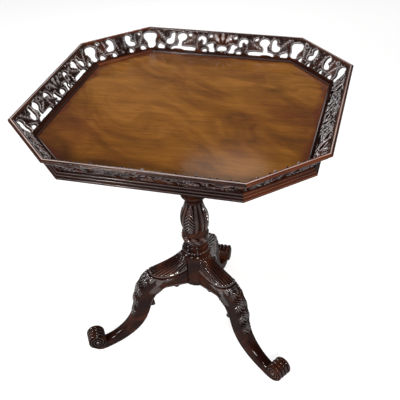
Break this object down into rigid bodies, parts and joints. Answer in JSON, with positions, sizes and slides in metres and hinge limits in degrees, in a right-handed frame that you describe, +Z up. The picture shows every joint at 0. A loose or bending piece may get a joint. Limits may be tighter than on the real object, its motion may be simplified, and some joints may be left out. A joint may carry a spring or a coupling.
{
  "type": "tilt-top tea table",
  "caption": "Tilt-top tea table: a tray top inside a leaning pierced gallery, on a turned and carved pillar with splayed cabriole legs.",
  "frame": {"origin": "on the floor, at the pillar's axis, which is the middle of the tray", "axes": "+Z up along the pillar, +X to the right, -Y towards the front; the back leg points along +Y"},
  "size_m": [0.7, 0.7, 0.737],
  "materials": {
    "tray_mahogany": "french polished, glossy, figured grain",
    "carved_mahogany": "dark stained and polished, glossy",
    "plain_mahogany": "planed and stained, satin",
    "brass": "aged, satin",
    "iron": "wrought, dark",
    "steel": "dull"
  },
  "bodies": {
    "stand": {"pillar": "carved_mahogany", "leg_left": "carved_mahogany", "leg_right": "carved_mahogany", "leg_back": "carved_mahogany", "strap_plate": "iron", "strap_screws": "steel", "tilt_block": "plain_mahogany", "tenon_wedge": "plain_mahogany", "keeper_plate": "brass", "keeper_screws": "brass"},
    "tray": {"tray_board": "tray_mahogany", "base_moulding_right": "carved_mahogany", "base_moulding_back_right": "carved_mahogany", "base_moulding_back": "carved_mahogany", "base_moulding_back_left": "carved_mahogany", "base_moulding_left": "carved_mahogany", "base_moulding_front_left": "carved_mahogany", "base_moulding_front": "carved_mahogany", "base_moulding_front_right": "carved_mahogany", "gallery_panel_right": "carved_mahogany", "gallery_panel_back_right": "carved_mahogany", "gallery_panel_back": "carved_mahogany", "gallery_panel_back_left": "carved_mahogany", "gallery_panel_left": "carved_mahogany", "gallery_panel_front_left": "carved_mahogany", "gallery_panel_front": "carved_mahogany", "gallery_panel_front_right": "carved_mahogany", "rim_rail_right": "carved_mahogany", "rim_rail_back_right": "carved_mahogany", "rim_rail_back": "carved_mahogany", "rim_rail_back_left": "carved_mahogany", "rim_rail_left": "carved_mahogany", "rim_rail_front_left": "carved_mahogany", "rim_rail_front": "carved_mahogany", "rim_rail_front_right": "carved_mahogany", "bearer_left": "plain_mahogany", "bearer_right": "plain_mahogany", "bearer_screws": "steel", "catch_case": "brass", "catch_screws": "brass"},
    "catch": {"catch_bolt": "brass", "catch_knob": "brass"}
  },
  "joints": [
    {"name": "tray_tilt", "type": "hinge", "parent": "stand", "child": "tray", "pos_m": [0, -0.066, 0.659], "axis": [1, 0, 0], "range_deg": [0, 90]},
    {"name": "bolt_slide", "type": "slide", "parent": "tray", "child": "catch", "axis": [0, -1, 0], "range_m": [0, 0.01]}
  ]
}
